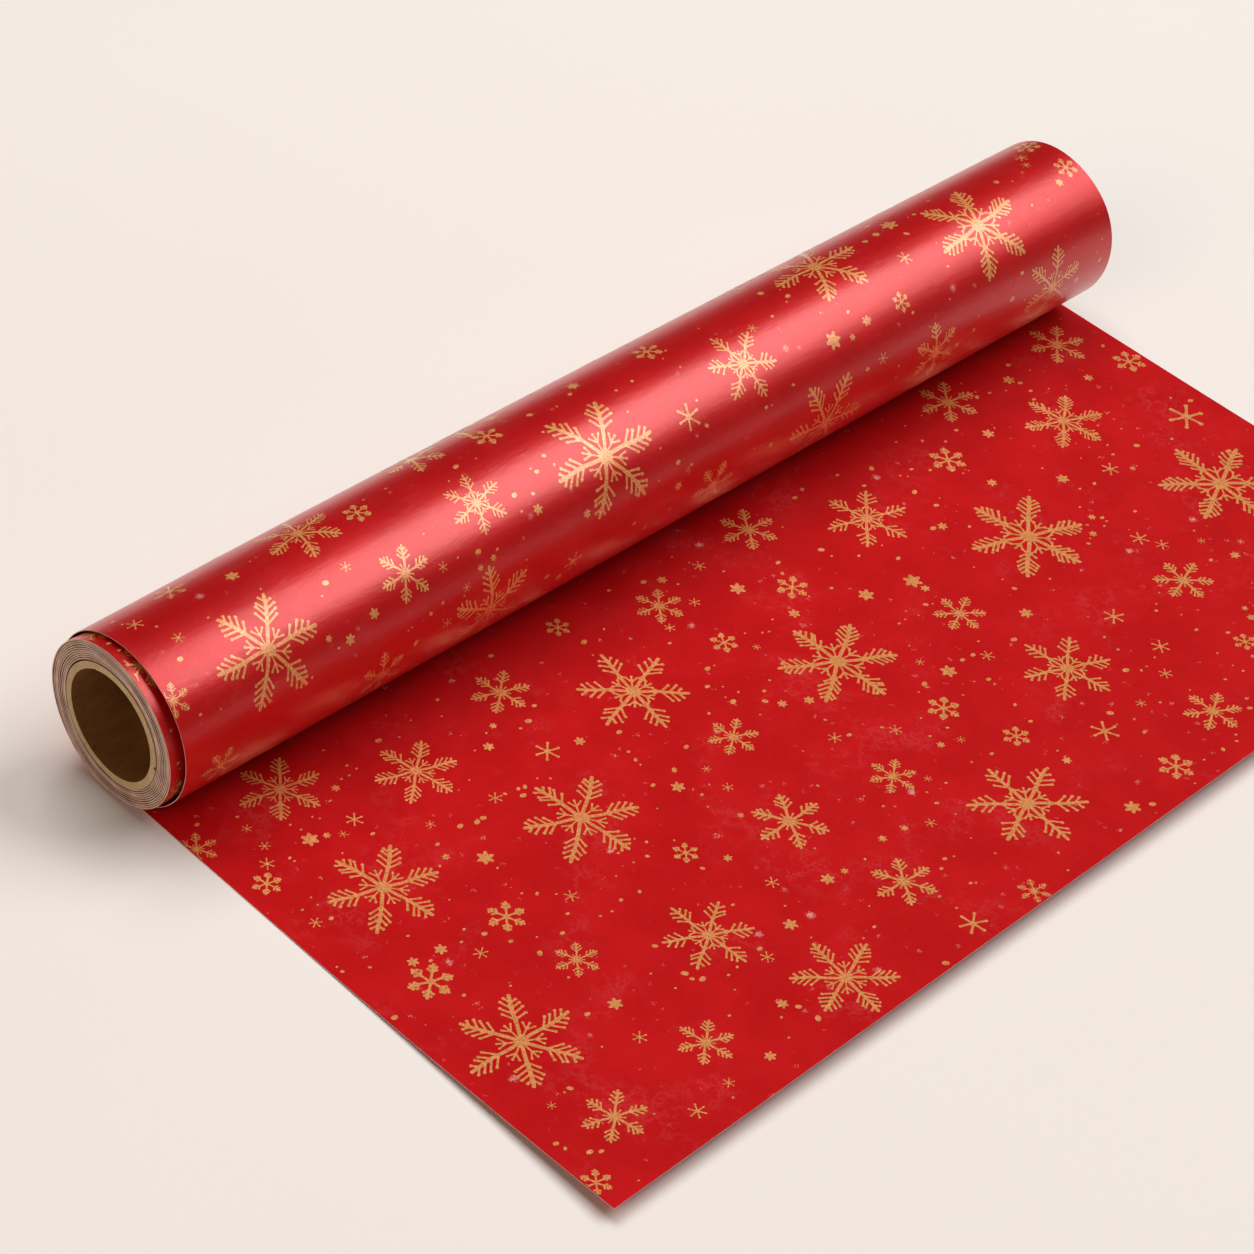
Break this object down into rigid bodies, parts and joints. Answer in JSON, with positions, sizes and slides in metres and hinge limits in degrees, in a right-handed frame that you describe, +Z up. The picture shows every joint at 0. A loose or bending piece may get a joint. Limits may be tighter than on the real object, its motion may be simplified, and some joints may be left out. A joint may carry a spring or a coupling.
{
  "type": "wrapping paper roll",
  "caption": "Gift wrap on a hollow paperboard core: wound paper, a loose outer turn and a length of sheet unrolled flat from the underside, with its free edge slightly curled.",
  "frame": {"origin": "middle of the footprint of the roll and its sheet together, on the table", "axes": "+Y along the roll's axis, away from the end the winding stands out of; +X from the roll towards the sheet's free edge; +Z up"},
  "size_m": [0.2443, 0.436, 0.0605],
  "materials": {
    "core_board": "plain kraft paperboard",
    "wound_paper": "cut edges of printed paper",
    "printed_paper": "satin red paper with gold snowflakes"
  },
  "bodies": {
    "sheet": {"unrolled_sheet": "printed_paper"},
    "loose_turn": {"loose_outer_turn": "printed_paper"},
    "winding": {"wound_paper": "wound_paper"},
    "core": {"core_inner_ply": "core_board", "core_middle_ply": "core_board", "core_outer_ply": "core_board"}
  },
  "joints": [
    {"name": "roll_travel", "type": "slide", "parent": "sheet", "child": "loose_turn", "axis": [-1, 0, 0], "range_m": [-0.02, 0.19], "deforming": ["unrolled_sheet"]},
    {"name": "roll_spin", "type": "hinge", "parent": "loose_turn", "child": "winding", "pos_m": [-0.09181, 0, 0.02931], "axis": [0, -1, 0], "range_deg": [-40, 360]},
    {"name": "core_slide", "type": "slide", "parent": "winding", "child": "core", "axis": [0, -1, 0], "range_m": [-0.44, 0.44]}
  ],
  "couplings": [
    {"joint": "roll_spin", "follows": "roll_travel", "rad_per_m": 32.911}
  ]
}
